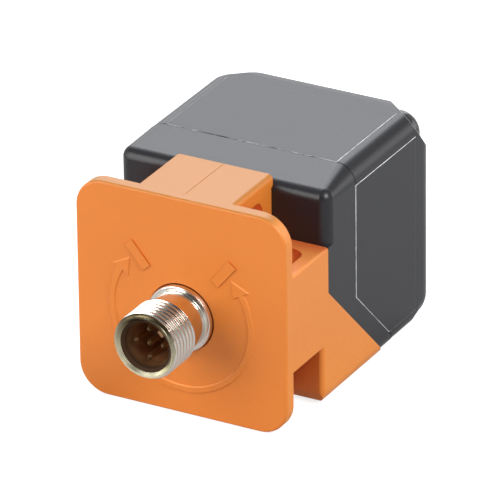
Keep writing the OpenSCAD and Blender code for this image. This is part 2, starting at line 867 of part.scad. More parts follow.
// Contact pin with a round tip and a thinner solder tail
module contact_pin(number) {
  spot = pin_spots[number - 1];
  tip = pin_back - plug_out;
  tail_front = barrel_end - 2 * free_gap;
  color(gold) in_frame() translate([spot[0], 0, plug_z + spot[1]]) rotate([-90, 0, 0])
    rotate_extrude() {
      band(0, pin_r, tip + pin_r, tail_front);
      band(0, pin_tail_r, tail_front - over, pin_tail_end);
      intersection() {
        translate([0, tip + pin_r]) circle(pin_r);
        band(0, pin_r, tip, tail_front);
      }
    }
}

// Rubber ring in the barrel's groove
module seal_ring() {
  color(rubber) in_frame() turn_y()
    translate([seal_root() + seal_cord_r + press_gap, seal_y]) circle(seal_cord_r);
}

// Open spring ring behind the guide bore
module retaining_ring() {
  opening = 50;
  color(steel) in_frame() translate([0, 0, plug_z]) rotate([-90, 0, 0]) rotate([0, 0, 90 + opening / 2])
    rotate_extrude(angle = 360 - opening)
      band(barrel_r - ring_groove + press_gap, ring_out_r, ring_front, ring_front + ring_t);
}

// Flat gasket around the lead port
module port_gasket() {
  color(rubber) in_frame() translate([0, 0, port_z]) extrude_y(neck_end, neck_end + gasket_t) difference() {
    rounded(port_w + 2 * gasket_w - 2 * fit_gap, port_h + 2 * gasket_w - 2 * fit_gap, gasket_w);
    square([port_w, port_h], center = true);
  }
}

// Bent gasket between the front shell's tongue and the cap
module cap_gasket() {
  seat_y = part_y + tongue_len;
  color(rubber) in_frame() intersection() {
    extrude_y(0, body_len) difference() {
      room_section(wall / 2 - fit_gap);
      room_section(0);
    }
    bent_layer(seat_y, part_foot + tongue_len * slope, cap_gasket_t);
  }
}

// Socket-head screw that holds the head on the base
module head_screw() {
  socket_r = socket_w / 2 / cos(30);
  color(steel) in_frame() on_screw() difference() {
    union() {
      translate([0, 0, -screw_grip]) cylinder(h = screw_grip + screw_bite, r = screw_r);
      translate([0, 0, -screw_grip - screw_head_h]) cylinder(h = screw_head_h, r = screw_head_r);
    }
    translate([0, 0, -screw_grip - screw_head_h - over])
      cylinder(h = screw_head_h / 2 + over, r = socket_r, $fn = 6);
  }
}

// Brass insert in the front shell that takes the head screw
module threaded_insert() {
  color(gold) in_frame() on_screw() difference() {
    cylinder(h = insert_len, r = insert_r);
    translate([0, 0, -over]) cylinder(h = insert_len + 2 * over, r = screw_r + press_gap);
  }
}

// Pot-shaped ferrite core, open to the sensing face
module ferrite_core() {
  color(ferrite) in_frame() head_axis() difference() {
    rotate_extrude() difference() {
      band(core_hole_r, core_r, core_rear, core_front);
      band(core_post_r, window_out_r, core_rear + core_back, core_front + over);
    }
    for (s = [-1, 1]) {
      translate([s * tail_x(), 0, core_rear - over]) cylinder(h = core_back + 2 * over, r = tail_hole_r);
    }
  }
}

// Distance of the coil's tails from the axis
function tail_x() = (core_post_r + window_out_r) / 2;

// Bobbin in the core's ring-shaped room
module coil_bobbin() {
  bobbin_front = core_front - fit_gap;
  inner = core_post_r + fit_gap;
  outer = window_out_r - fit_gap;
  color(natural) in_frame() head_axis() difference() {
    rotate_extrude() {
      band(inner, inner + bobbin_t, bobbin_rear, bobbin_front);
      band(inner, outer, bobbin_rear, bobbin_rear + bobbin_t);
      band(inner, outer, bobbin_front - bobbin_t, bobbin_front);
    }
    for (s = [-1, 1]) {
      translate([s * tail_x(), 0, bobbin_rear - over]) cylinder(h = bobbin_t + 2 * over, r = 2 * coil_tail_r);
    }
  }
}

// Coil winding with its two tails
module sensing_coil() {
  inner = core_post_r + fit_gap + bobbin_t + press_gap;
  coil_rear = bobbin_rear + bobbin_t + press_gap;
  coil_front = core_front - fit_gap - bobbin_t - press_gap;
  color(copper) in_frame() head_axis() {
    rotate_extrude() band(inner, window_out_r - coil_inset, coil_rear, coil_front);
    for (s = [-1, 1]) {
      translate([s * tail_x(), 0, board_rear])
        cylinder(h = coil_rear - board_rear + over / 2, r = coil_tail_r);
    }
  }
}

// Metal ring that screens the core's side
module screening_ring() {
  inner = core_r + fit_gap;
  color(gold) in_frame() head_axis() rotate_extrude()
    band(inner, inner + screen_t, core_rear, core_front);
}

// Plastic cup that carries the core, its ring and the coil on the board
module coil_carrier() {
  inner = core_r + screen_t + 2 * fit_gap;
  color(natural) in_frame() head_axis() difference() {
    rotate_extrude() {
      band(0, inner + carrier_t, board_rear, board_rear + carrier_floor);
      band(inner, inner + carrier_t, board_rear, core_front);
    }
    for (s = [-1, 1]) {
      translate([s * tail_x(), 0, board_rear - over]) cylinder(h = carrier_floor + 2 * over, r = tail_hole_r);
    }
  }
}

// Square board that fills the head's room
module main_board() {
  half = room_half - board_gap;
  color(board_green) in_frame() translate([-half, board_front, axis_z - half])
    cube([2 * half, board_t, 2 * half]);
}

// Indicator lamp on the board, behind a corner window
module lamp(sx, sz) {
  color(lamp_white) in_frame()
    translate([sx * lamp_offset - lamp_w / 2, board_rear, axis_z + sz * lamp_offset - lamp_w / 2])
      cube([lamp_w, lamp_h, lamp_w]);
}

// Flat component on the board's front, centred at a spot across and up from the axis
module on_board(spot, w, t, h) {
  translate([spot[0] - w / 2, board_front - t, axis_z + spot[1] - h / 2]) cube([w, t, h]);
}

// Chip that runs the oscillator and judges its signal
module control_chip() {
  color(rubber) in_frame() on_board(chip_spot, chip_w, chip_t, chip_w);
}

// Power switch of the output
module output_switch() {
  color(rubber) in_frame() on_board(switch_spot, switch_w, switch_t, switch_w);
}

// Round can on a square foot
module smoothing_capacitor() {
  color(steel) in_frame() {
    on_board(can_spot, 2 * can_r + fit_gap, can_foot_t, 2 * can_r + fit_gap);
    translate([can_spot[0], board_front, axis_z + can_spot[1]]) rotate([90, 0, 0])
      cylinder(h = can_h, r = can_r);
  }
}

// Two small diodes beside the output switch
module protection_diodes() {
  color(rubber) in_frame() for (spot = diode_spots) {
    on_board(spot, diode_w, diode_t, diode_len);
  }
}

// Lead wires: pin of each lane, sides of their section, steps along each half, and shape of their bends
lead_pins = [5, 4, 2, 1, 3];
lead_sides = 8;
lead_steps = 9;
pad_z = axis_z + pad_rise;
port_pull = [0, 1.6, 4];
pad_pull = [0, 8, 0];
pin_pull = 1.6;
function cubic(a, b, c, d, t) =
  a * pow(1 - t, 3) + b * 3 * t * pow(1 - t, 2) + c * 3 * t * t * (1 - t) + d * pow(t, 3);
function lead_path(lane) =
  let (spot = pin_spots[lead_pins[lane + 2] - 1],
       start = [spot[0], pin_tail_end + free_gap, plug_z + spot[1]],
       port = [lane * lead_step, neck_end + gasket_t / 2, port_z],
       pad = [2 * lane * lead_step, board_front, pad_z],
       leave = start + [0.9 * (port[0] - start[0]), pin_pull, 0])
  concat(
    [for (i = [0:lead_steps]) cubic(start, leave, port - port_pull, port, i / lead_steps)],
    [for (i = [1:lead_steps]) cubic(port, port + port_pull, pad - pad_pull, pad, i / lead_steps)]
  );
function unit(v) = v / norm(v);
function heading(path, i) = unit(path[min(i + 1, len(path) - 1)] - path[max(i - 1, 0)]);
function lead_ring(path, i) =
  let (t = i == 0 || i == len(path) - 1 ? [0, 1, 0] : heading(path, i),
       u = unit(cross(t, [1, 0, 0])),
       v = cross(t, u))
  [for (k = [0:lead_sides - 1])
    path[i] + lead_r * (cos(360 * k / lead_sides) * u + sin(360 * k / lead_sides) * v)];

// One insulated wire, swept along its path
module lead_wire(lane) {
  path = lead_path(lane);
  rings = len(path);
  ends = [
    [for (k = [0:lead_sides - 1]) k],
    [for (k = [0:lead_sides - 1]) rings * lead_sides - 1 - k]
  ];
  walls = [for (i = [0:rings - 2], k = [0:lead_sides - 1]) [
    i * lead_sides + k, (i + 1) * lead_sides + k,
    (i + 1) * lead_sides + (k + 1) % lead_sides, i * lead_sides + (k + 1) % lead_sides
  ]];
  polyhedron([for (i = [0:rings - 1]) each lead_ring(path, i)], concat(ends, walls));
}

// The five wires, side by side in the port
module lead_wires() {
  color(copper) in_frame() for (lane = [-2:2]) {
    lead_wire(lane);
  }
}

base_body();
front_shell();
sensing_cap();
corner_window(-1, 1);  // window_top_left
corner_window(1, 1);  // window_top_right
corner_window(-1, -1);  // window_bottom_left
corner_window(1, -1);  // window_bottom_right
connector_shell();
contact_carrier();
contact_pin(1);  // contact_pin_1
contact_pin(2);  // contact_pin_2
contact_pin(3);  // contact_pin_3
contact_pin(4);  // contact_pin_4
contact_pin(5);  // contact_pin_5
seal_ring();
retaining_ring();
port_gasket();
cap_gasket();
head_screw();
threaded_insert();
ferrite_core();
coil_bobbin();
sensing_coil();
screening_ring();
coil_carrier();
main_board();
lamp(-1, 1);  // lamp_top_left
lamp(1, 1);  // lamp_top_right
lamp(-1, -1);  // lamp_bottom_left
lamp(1, -1);  // lamp_bottom_right
control_chip();
output_switch();
smoothing_capacitor();
protection_diodes();
lead_wires();
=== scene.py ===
"""Looks of a cube-shaped inductive proximity sensor: threaded plug, turning mark, finishes and light."""

import json
import math

import bmesh
import bpy
from mathutils import Matrix, Vector


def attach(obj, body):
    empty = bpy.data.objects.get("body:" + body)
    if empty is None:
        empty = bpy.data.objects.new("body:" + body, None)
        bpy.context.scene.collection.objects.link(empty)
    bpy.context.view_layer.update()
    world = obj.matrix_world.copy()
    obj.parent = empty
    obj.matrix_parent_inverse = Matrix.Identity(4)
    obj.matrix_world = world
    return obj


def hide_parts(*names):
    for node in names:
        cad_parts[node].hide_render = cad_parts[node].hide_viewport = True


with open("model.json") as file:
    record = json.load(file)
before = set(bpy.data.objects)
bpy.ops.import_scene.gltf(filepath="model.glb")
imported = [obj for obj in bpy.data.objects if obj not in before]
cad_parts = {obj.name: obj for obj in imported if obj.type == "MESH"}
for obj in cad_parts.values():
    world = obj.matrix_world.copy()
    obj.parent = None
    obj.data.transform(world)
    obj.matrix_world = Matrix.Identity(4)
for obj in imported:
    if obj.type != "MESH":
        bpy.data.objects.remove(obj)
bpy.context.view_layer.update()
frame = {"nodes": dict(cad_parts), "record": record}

X, Y, Z = 0, 1, 2
MM = 0.001

# Stations and radii of the plug, in millimetres; stations count from the end plate's front face
PLATE_Y = -20.65
AXIS_Z = 18.1
RIM_Y, RIM_R, MOUTH_R = -12.7, 5.45, 5.2
CREST_R, ROOT_R, PITCH = 5.99, 5.42, 1.0
THREAD_END = -5.7
UNDERCUT_R, COLLAR_Y, COLLAR_R = 5.2, -1.0, 6.0
SEAT_Y, BARREL_R, BARREL_END = 0.75, 5.58, 10.5
BORE_R, FLANGE_R, FLANGE_Y = 4.25, 4.6, 9.32
MOUTH_END = MOUTH_R - BORE_R + RIM_Y
CHAMBER_FLOOR = -3.7

# Grooves of the plug's barrel: front, rear and radius of the floor
SEAL_GROOVE = (3.98, 5.22, 4.74)
RING_GROOVE = (8.25, 9.05, 4.98)

# Stop lug on the barrel, with half its width in degrees
LUG_FRONT, LUG_ROOT_R, LUG_R, LUG_HALF = 9.3, 5.3, 7.2, 20

# Turning mark on the end plate, and how deep its foot is sunk
MARK_HEIGHT, MARK_SLOPE, MARK_FOOT = 0.22, 0.2, 0.02

# Places of the head, in the same millimetres
TOP, HALF = 40.0, 20.0
NECK_END = 14.7
PART_Y, PART_FOOT = 24.7, 40.2
PANEL_HALF, PANEL_END, PANEL_RISE = 16.3, 46.2, 0.06
SENSING_FACE_Y = 54.0

# Radii of the cap's long edges, lower rear corners and rear edges, and the way along which the first grows
LONG_EDGE_R, CORNER_R, FACE_EDGE_R, EDGE_TAPER = 3.44, 4.6, 5.0, 2.9

# Cut of a rear corner: reach along the edges; normal and middle at the upper right, from the head's axis
CUT_SIDE, CUT_LENGTH = 11.2, 9.7
CUT_NORMAL = Vector((1 / CUT_SIDE, 1 / CUT_LENGTH, 1 / CUT_SIDE)).normalized()
CUT_MIDDLE = Vector((16.372, 50.584, 16.372))

WHITE, COOL_WHITE = (1.0, 1.0, 1.0), (0.94, 0.965, 1.0)


def at(x, y, z):
    """A point given in millimetres, with y from the end plate's front face."""
    return Vector((x, y + PLATE_Y, z)) * MM


def station(y):
    """A station of the part as a coordinate of the frame, in metres."""
    return (y + PLATE_Y) * MM


# Shader writing


class Value:
    """A shader socket that can be used in plain arithmetic."""

    def __init__(self, tree, socket):
        self.tree = tree
        self.socket = socket

    def math(self, operation, *terms):
        """The result of a Math node on values and numbers."""
        node = self.tree.nodes.new("ShaderNodeMath")
        node.operation = operation
        for socket, term in zip(node.inputs, terms):
            connect(self.tree, socket, term)
        return Value(self.tree, node.outputs[0])

    def __add__(self, other):
        return self.math("ADD", self, other)

    def __sub__(self, other):
        return self.math("SUBTRACT", self, other)

    def __rsub__(self, other):
        return self.math("SUBTRACT", other, self)

    def __mul__(self, other):
        return self.math("MULTIPLY", self, other)

    __radd__ = __add__


def connect(tree, socket, term):
    """Sets a socket to a number or colour, or links it to a value."""
    if isinstance(term, Value):
        tree.links.new(term.socket, socket)
    elif isinstance(term, (tuple, list)) and len(socket.default_value) == 4:
        socket.default_value = tuple(term[:3]) + (1.0,)
    else:
        socket.default_value = term


class Finish:
    """One material, built up from nodes around a Principled shader."""

    def __init__(self, name):
        self.material = bpy.data.materials.new(name)
        self.material.use_nodes = True
        self.tree = self.material.node_tree
        self.shader = self.tree.nodes["Principled BSDF"]

    def node(self, kind, settings=None, inputs=None, output=0):
        """Adds a node, sets it up, fills its sockets and gives back one of its outputs."""
        node = self.tree.nodes.new("ShaderNode" + kind)
        for key, setting in (settings or {}).items():
            setattr(node, key, setting)
        for key, term in (inputs or {}).items():
            connect(self.tree, node.inputs[key], term)
        return Value(self.tree, node.outputs[output])

    def place(self, scale=(1, 1, 1)):
        """The surface's own place in the object, in metres, stretched by a scale."""
        spot = self.node("TexCoord", output="Object")
        return self.node("VectorMath", {"operation": "MULTIPLY"}, {0: spot, 1: scale})

    def coordinate(self, axis):
        """The surface's own place along one axis of the object, in metres."""
        return self.node("SeparateXYZ", None, {0: self.place()}, output=axis)

    def facing(self, axis):
        """How far the surface faces along one axis, from -1 to 1."""
        normal = self.node("NewGeometry", output="Normal")
        return self.node("SeparateXYZ", None, {0: normal}, output=axis)

    def noise(self, size, detail=2.0, roughness=0.5, scale=(1, 1, 1)):
        """Soft noise whose spots are about size millimetres wide, from 0 to 1."""
        return self.node("TexNoise", None, {
            "Vector": self.place(scale), "Scale": 1 / (size * MM), "Detail": detail, "Roughness": roughness})

    def marks(self, size):
        """Noise drawn out round the long axis, as a lathe or a die leaves it."""
        return self.noise(size, 4.0, 0.7, (0.04, 1, 0.04))

    def remap(self, value, low, high, start=0.3, end=0.7):
        """Low where the value is at its start, high where it is at its end, and in proportion between."""
        return self.node("MapRange", None, {
            "Value": value, "From Min": start, "From Max": end, "To Min": low, "To Max": high})

    def blend(self, mask, first, second):
        """One colour where the mask is 0, the other where it is 1."""
        return self.node("Mix", {"data_type": "RGBA"}, {"Factor": mask, 6: first, 7: second}, output=2)

    def set(self, **sockets):
        """Fills the shader's sockets; an underscore stands for a space."""
        for key, term in sockets.items():
            connect(self.tree, self.shader.inputs[key.replace("_", " ")], term)

    def tone(self, colour, drift, cloud=None):
        """A colour that drifts a little, lighter and darker, over wide soft clouds."""
        cloud = cloud or self.noise(14.0, 3.0)
        return self.blend(self.remap(cloud, 0.0, 1.0), shade(colour, 1 - drift), shade(colour, 1 + drift))

    def moulding(self, tone, dim, rough, grain, depth, edge=0.0):
        """Fine eroded grain, dimmer in its pits."""
        speck = self.noise(grain, 3.0, 0.65)
        spread = 0.05
        self.set(Base_Color=self.blend(self.remap(speck, 0.0, 0.35), tone, dim),
                 Roughness=self.remap(speck, rough - spread, rough + spread))
        self.relief(speck, depth, edge)

    def relief(self, height, depth, edge=0.0):
        """Bump of some depth in millimetres, over edges softened by a radius in millimetres."""
        inputs = {"Height": height, "Strength": 1.0, "Distance": depth * MM}
        if edge:
            inputs["Normal"] = self.node("Bevel", {"samples": 6}, {"Radius": edge * MM})
        self.set(Normal=self.node("Bump", None, inputs))


def rgb(*channels):
    """A colour as it is seen on a screen, 0 to 255, as the shader's linear light."""
    return tuple(((c / 255 + 0.055) / 1.055) ** 2.4 if c > 10 else c / 255 / 12.92 for c in channels)


def shade(colour, factor):
    """A colour made lighter or darker by a factor."""
    return tuple(c * factor for c in colour)


# Finishes


def moulded(name, colour, rough, grain, depth, drift=0.05, edge=0.0, specular=0.5):
    """Moulded plastic or rubber with a fine eroded grain and a slight drift in its colour."""
    f = Finish(name)
    f.moulding(f.tone(colour, drift), shade(colour, 0.9), rough, grain, depth, edge)
    f.set(Specular_IOR_Level=specular)
    return f.material


def orange_moulding():
    """Orange plastic with painted light: a yellow top, pale ledges, a lit +X side; red painted shade in
    recesses.
    """
    f = Finish("orange_moulding")
    base, pit = rgb(232, 131, 45), rgb(220, 123, 42)
    # Painted light on the top and up-facing ledges, and painted red shade on the ledges by the head
    painted_lit_ledge, painted_shade_by_head, painted_top_tone = rgb(247, 160, 87), rgb(214, 92, 48), rgb(179, 117, 32)
    # Painted light on the side facing +X, painted shade low on that side, and painted red shade in recesses
    painted_shade_low_flank, flank, painted_recess_shade = rgb(231, 138, 53), rgb(242, 148, 60), rgb(188, 54, 24)
    height = f.coordinate(Z)
    below_top = f.remap(height, 1.0, 0.0, (TOP - 1.5) * MM, (TOP - 0.5) * MM)
    near_head = f.remap(f.coordinate(Y), 0.0, 0.8, station(NECK_END - 3.5), station(NECK_END - 0.5))
    open_air = f.node("AmbientOcclusion", {"samples": 8, "only_local": True}, {"Distance": 14 * MM},
                      output="AO")
    # Painted light and shade, picked by height, nearness to the head, facing up or +X, and occlusion
    painted_ledge_tones = f.blend(below_top, painted_top_tone, f.blend(near_head, painted_lit_ledge, painted_shade_by_head))
    side = f.blend(f.remap(height, 1.0, 0.0, 4 * MM, 16 * MM), painted_shade_low_flank, flank)
    tone = f.blend(f.remap(f.facing(X), 0.0, 1.0, 0.5, 0.9), f.tone(base, 0.025), side)
    tone = f.blend(f.remap(f.facing(Z), 0.0, 1.0, 0.2, 0.9), tone, painted_ledge_tones)
    tone = f.blend(f.remap(open_air, 1.0, 0.0, 0.2, 0.8) * below_top, tone, painted_recess_shade)
    f.moulding(tone, pit, rough=0.42, grain=0.32, depth=0.004, edge=0.12)
    return f.material


def turned(name, colour, rough, marks, depth=0.002, edge=0.0):
    """Turned or drawn metal, with fine marks that run round the long axis and faint stains."""
    f = Finish(name)
    lines = f.marks(marks)
    stain = f.noise(3.0, 3.0)
    f.set(Base_Color=f.blend(f.remap(lines, 0.0, 0.3), f.tone(colour, 0.06, stain), shade(colour, 0.8)),
          Roughness=f.remap(lines, rough - 0.05, rough + 0.08) + stain * 0.06, Metallic=1.0)
    f.relief(lines, depth, edge)
    return f.material


def mouth_finish():
    """Plating of the mouth's bevels, cream with painted light on the lower part, dull brown with painted
    shade above.
    """
    f = Finish("mouth_metal")
    painted_lit_lower, painted_shade_upper, mark = rgb(255, 248, 212), rgb(92, 82, 60), rgb(120, 112, 84)
    lines = f.marks(0.12)
    height = f.coordinate(Z) + (f.noise(2.5, 2.0) - 0.5) * MM
    # Painted light and shade by height: cream low on the bevels, dull brown high up
    tone = f.blend(f.remap(height, 0.0, 1.0, (AXIS_Z - 5.0) * MM, (AXIS_Z + 4.5) * MM), painted_lit_lower, painted_shade_upper)
    f.set(Base_Color=f.blend(f.remap(lines, 0.0, 0.2), tone, mark), Roughness=f.remap(lines, 0.24, 0.32),
          Metallic=1.0)
    f.relief(lines, 0.002)
    return f.material


def pin_finish():
    """Gold-plated pins, bright along their sides, with painted shade dulling their tips."""
    f = Finish("gold_plate")
    side_gold, painted_shade_tips, mark = rgb(196, 150, 98), rgb(84, 63, 43), rgb(112, 84, 55)
    lines = f.marks(0.2)
    # Painted shade on the faces turned to the mouth, which are the tips
    tone = f.blend(f.remap(f.facing(Y), 1.0, 0.0, -0.7, -0.2), side_gold, painted_shade_tips)
    f.set(Base_Color=f.blend(f.remap(lines, 0.0, 0.3), tone, mark), Roughness=f.remap(lines, 0.42, 0.55),
          Metallic=1.0)
    f.relief(lines, 0.002)
    return f.material


def window_finish():
    """Darkly tinted, glossy window with a soft inner haze."""
    f = Finish("smoked_window")
    haze = f.noise(1.2, 2.0)
    f.set(Base_Color=f.blend(f.remap(haze, 0.0, 1.0), rgb(40, 40, 43), rgb(58, 57, 58)),
          Roughness=f.remap(haze, 0.1, 0.16), Transmission_Weight=0.2, IOR=1.5)
    f.relief(haze, 0.002)
    return f.material


def winding_finish():
    """Lacquered copper wire, laid in turns round the post, with painted shade in the grooves between turns.
    """
    f = Finish("copper_winding")
    turns = f.node("TexWave", {"wave_type": "BANDS", "bands_direction": "Y", "wave_profile": "SIN"}, {
        "Vector": f.place(), "Scale": 1600.0, "Distortion": 0.6, "Detail": 1.0})
    colour = rgb(188, 104, 58)
    # Painted shade: the colour darkens to about a third in the bands between turns
    f.set(Base_Color=f.blend(turns, shade(colour, 0.35), colour), Roughness=f.remap(turns, 0.5, 0.28),
          Metallic=1.0)
    f.relief(turns, 0.05)
    return f.material


def board_finish():
    """Green solder mask over faint copper tracks, with the laminate's weave."""
    f = Finish("board_laminate")
    mask, track = rgb(24, 92, 52), rgb(52, 138, 78)
    edges = f.node("TexVoronoi", {"feature": "DISTANCE_TO_EDGE", "distance": "MANHATTAN"}, {
        "Vector": f.place(), "Scale": 420.0})
    on_track = f.node("MapRange", {"interpolation_type": "SMOOTHSTEP"}, {
        "Value": edges, "From Min": 0.05, "From Max": 0.09, "To Min": 1.0, "To Max": 0.0})
    weave = f.noise(0.3, 2.0, 0.5, (1, 1, 0.3))
    f.set(Base_Color=f.blend(on_track, mask, track), Roughness=f.remap(weave, 0.28, 0.4))
    f.relief(on_track * 0.6 + weave * 0.4, 0.02)
    return f.material


def lining_finish():
    """Brown plastic of the contact chamber, with painted shade darkening it towards its mouth."""
    f = Finish("chamber_lining")
    lining_colour, painted_shade_near_mouth, pit = rgb(190, 134, 88), rgb(62, 41, 25), rgb(60, 41, 26)
    near_mouth = f.remap(f.coordinate(Y), 1.0, 0.0, station(RIM_Y + 1.2), station(RIM_Y + 4.5))
    # Painted shade: dark brown towards the mouth
    tone = f.blend(near_mouth, f.tone(lining_colour, 0.06), painted_shade_near_mouth)
    f.moulding(tone, pit, rough=0.7, grain=0.2, depth=0.004)
    f.set(Specular_IOR_Level=0.15)
    return f.material


def edge_highlight_finish():
    """Black moulding's edge: a patchy painted highlight, with painted shadow along the joint's top."""
    f = Finish("painted_edge_highlight")
    highlight_patches = f.remap(f.noise(1.6, 3.0, 0.6), 0.0, 1.0, 0.35, 0.6)
    near_top = f.remap(f.coordinate(Z), 0.0, 1.0, (TOP - 2.0) * MM, (TOP - 1.0) * MM)
    at_joint = near_top * f.remap(f.coordinate(Y), 1.0, 0.0, station(PART_Y + 0.3), station(PART_Y + 0.6))
    # Painted highlight along the edges, and painted shadow dark along the joint's top
    painted_highlight = f.blend(highlight_patches, rgb(178, 178, 183), rgb(246, 246, 250))
    painted_joint_shadow = f.blend(highlight_patches, rgb(52, 52, 56), rgb(190, 190, 195))
    f.set(Base_Color=f.blend(at_joint, painted_highlight, painted_joint_shadow), Roughness=f.remap(highlight_patches, 0.35, 0.5))
    f.relief(f.noise(0.3, 2.0), 0.002)
    return f.material


FINISHES = {
    "orange_moulding": orange_moulding(),
    "black_moulding": moulded("black_moulding", rgb(37, 37, 41), rough=0.32, grain=0.26, depth=0.002,
                              drift=0.06, edge=0.12, specular=0.38),
    "smoked_window": window_finish(),
    "nickel_plate": turned("nickel_plate", rgb(226, 222, 214), rough=0.15, marks=0.3, depth=0.0003,
                           edge=0.05),
    "carrier_plastic": moulded("carrier_plastic", rgb(150, 105, 68), rough=0.5, grain=0.2, depth=0.004),
    "gold_plate": pin_finish(),
    "seal_rubber": moulded("seal_rubber", rgb(38, 38, 38), rough=0.7, grain=0.4, depth=0.01),
    "spring_steel": turned("spring_steel", rgb(172, 173, 176), rough=0.3, marks=0.3),
    "screw_steel": turned("screw_steel", rgb(190, 191, 194), rough=0.26, marks=0.25, edge=0.1),
    "brass_plain": turned("brass_plain", rgb(214, 182, 108), rough=0.24, marks=0.25),
    "ferrite": moulded("ferrite", rgb(70, 69, 70), rough=0.62, grain=0.5, depth=0.015),
    "natural_plastic": moulded("natural_plastic", rgb(226, 221, 206), rough=0.48, grain=0.4, depth=0.004),
    "copper_wire": winding_finish(),
    "board_laminate": board_finish(),
    "lamp_resin": moulded("lamp_resin", rgb(240, 236, 216), rough=0.25, grain=0.3, depth=0.003),
    "chip_resin": moulded("chip_resin", rgb(48, 48, 50), rough=0.5, grain=0.25, depth=0.006),
    "can_aluminium": turned("can_aluminium", rgb(206, 207, 210), rough=0.28, marks=0.3),
    "wire_insulation": moulded("wire_insulation", rgb(120, 88, 60), rough=0.42, grain=0.4, depth=0.004),
}

slot_of = {part["node"]: part["material_slot"] for part in frame["record"]["subparts"]}
for name, node in frame["nodes"].items():
    for index in range(max(1, len(node.data.materials))):
        if index < len(node.data.materials):
            node.data.materials[index] = FINISHES[slot_of[name]]
        else:
            node.data.materials.append(FINISHES[slot_of[name]])


# Pieces


def add_piece(name, mesh, body, slot, crease, finish=None):
    """Makes a piece of a bmesh, with its seams closed and smooth up to a crease angle, riding on a body."""
    joined, shortest = 0.002 * MM, 0.0001 * MM
    bmesh.ops.remove_doubles(mesh, verts=mesh.verts, dist=joined)
    bmesh.ops.dissolve_degenerate(mesh, edges=mesh.edges, dist=shortest)
    bmesh.ops.recalc_face_normals(mesh, faces=mesh.faces)
    data = bpy.data.meshes.new(name)
    mesh.to_mesh(data)
    mesh.free()
    data.shade_smooth()
    data.set_sharp_from_angle(angle=math.radians(crease))
    piece = bpy.data.objects.new(name, data)
    bpy.context.scene.collection.objects.link(piece)
    data.materials.append(finish or FINISHES[slot])
    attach(piece, body)
    return piece


def full_turn(steps):
    """Angles once round in even steps, with the first one again at the end."""
    return [2 * math.pi * i / steps for i in range(steps + 1)]


def ring_point(y, radius, angle):
    """A point round the plug's axis; the angle starts upwards."""
    return at(radius * math.sin(angle), y, AXIS_Z + radius * math.cos(angle))


def net(mesh, rows):
    """Quads between rows of points, each row running the same way."""
    verts = [[mesh.verts.new(point) for point in row] for row in rows]
    for low, high in zip(verts, verts[1:]):
        for i in range(len(low) - 1):
            mesh.faces.new((low[i], low[i + 1], high[i + 1], high[i]))


def turn_outline(mesh, outline, angles):
    """Turns an outline of stations and radii round the plug's axis."""
    net(mesh, [[ring_point(y, radius, angle) for angle in angles] for y, radius in outline])


def thread_height(phase):
    """Radius of the thread at a phase from 0 to 1: a flat root, steep flanks and a narrow rounded crest."""
    half_root, flank, crest_rounding = 0.1, 0.33, 0.12
    rise = max(0.0, min(1.0, (0.5 - abs(phase - 0.5) - half_root) / flank))
    return ROOT_R + (CREST_R - ROOT_R) * (rise - crest_rounding * math.sin(2 * math.pi * rise) / 2)


def thread_limit(y):
    """Largest radius of the thread, bevelled at the rim and cut off at the undercut."""
    end_slope = 4
    return min(RIM_R + (y - RIM_Y), UNDERCUT_R + (THREAD_END - y) * end_slope)


def thread_rows(angles, steps):
    """Rows of points along the thread; each runs once round the plug and one pitch along it."""
    turns = int((THREAD_END - RIM_Y) / PITCH) + 2
    rows = []
    for j in range(-steps, turns * steps + 1):
        row = []
        for angle in angles:
            y = RIM_Y + PITCH * (j / steps + angle / (2 * math.pi))
            held = min(max(y, RIM_Y), THREAD_END)
            radius = thread_limit(held)
            if held == y:
                radius = min(radius, max(thread_height((j / steps) % 1), UNDERCUT_R))
            row.append(ring_point(held, radius, angle))
        rows.append(row)
    return rows


def stop_lug(mesh):
    """Lug on the plug's barrel that meets the stops in the base."""
    lug = [(LUG_FRONT, LUG_ROOT_R), (BARREL_END, LUG_ROOT_R), (BARREL_END, LUG_R), (LUG_FRONT, LUG_R)]
    sweep = [math.radians(degrees) for degrees in range(-LUG_HALF, LUG_HALF + 1, 2)]
    turn_outline(mesh, lug + lug[:1], sweep)
    for angle in (sweep[0], sweep[-1]):
        mesh.faces.new([mesh.verts.new(ring_point(y, radius, angle)) for y, radius in lug])


def plug_shell():
    """The plated shell with its cut thread, neck, collar, barrel, grooves and stop lug."""
    mesh = bmesh.new()
    columns, thread_steps = 160, 16
    angles = full_turn(columns)
    net(mesh, thread_rows(angles, thread_steps))
    fillet, edge, edge_middle = 0.12, 0.25, (0.07, 0.08)
    outline = [
        (THREAD_END, UNDERCUT_R), (COLLAR_Y - fillet, UNDERCUT_R), (COLLAR_Y, UNDERCUT_R + fillet),
        (COLLAR_Y, COLLAR_R - edge), (COLLAR_Y + edge_middle[0], COLLAR_R - edge_middle[1]),
        (COLLAR_Y + edge, COLLAR_R), (SEAT_Y, COLLAR_R), (SEAT_Y, BARREL_R),
    ]
    for front, rear, floor_r in (SEAL_GROOVE, RING_GROOVE):
        outline += [(front, BARREL_R), (front, floor_r), (rear, floor_r), (rear, BARREL_R)]
    outline += [
        (BARREL_END, BARREL_R), (BARREL_END, FLANGE_R), (FLANGE_Y, FLANGE_R), (FLANGE_Y, BORE_R),
        (MOUTH_END, BORE_R), (RIM_Y, MOUTH_R), (RIM_Y, RIM_R),
    ]
    turn_outline(mesh, outline, angles)
    stop_lug(mesh)
    piece = add_piece("plug_shell_threaded", mesh, "plug", "nickel_plate", 40)
    piece.data.materials.append(mouth_finish())
    facing_out, slack = -0.3, 0.02
    for face in piece.data.polygons:
        radius = Vector((face.center.x, face.center.z - AXIS_Z * MM)).length / MM
        end = MOUTH_END + slack if radius < RIM_R else RIM_Y + CREST_R - RIM_R
        if face.normal.y < facing_out and face.center.y < station(end):
            face.material_index = 1
    return piece


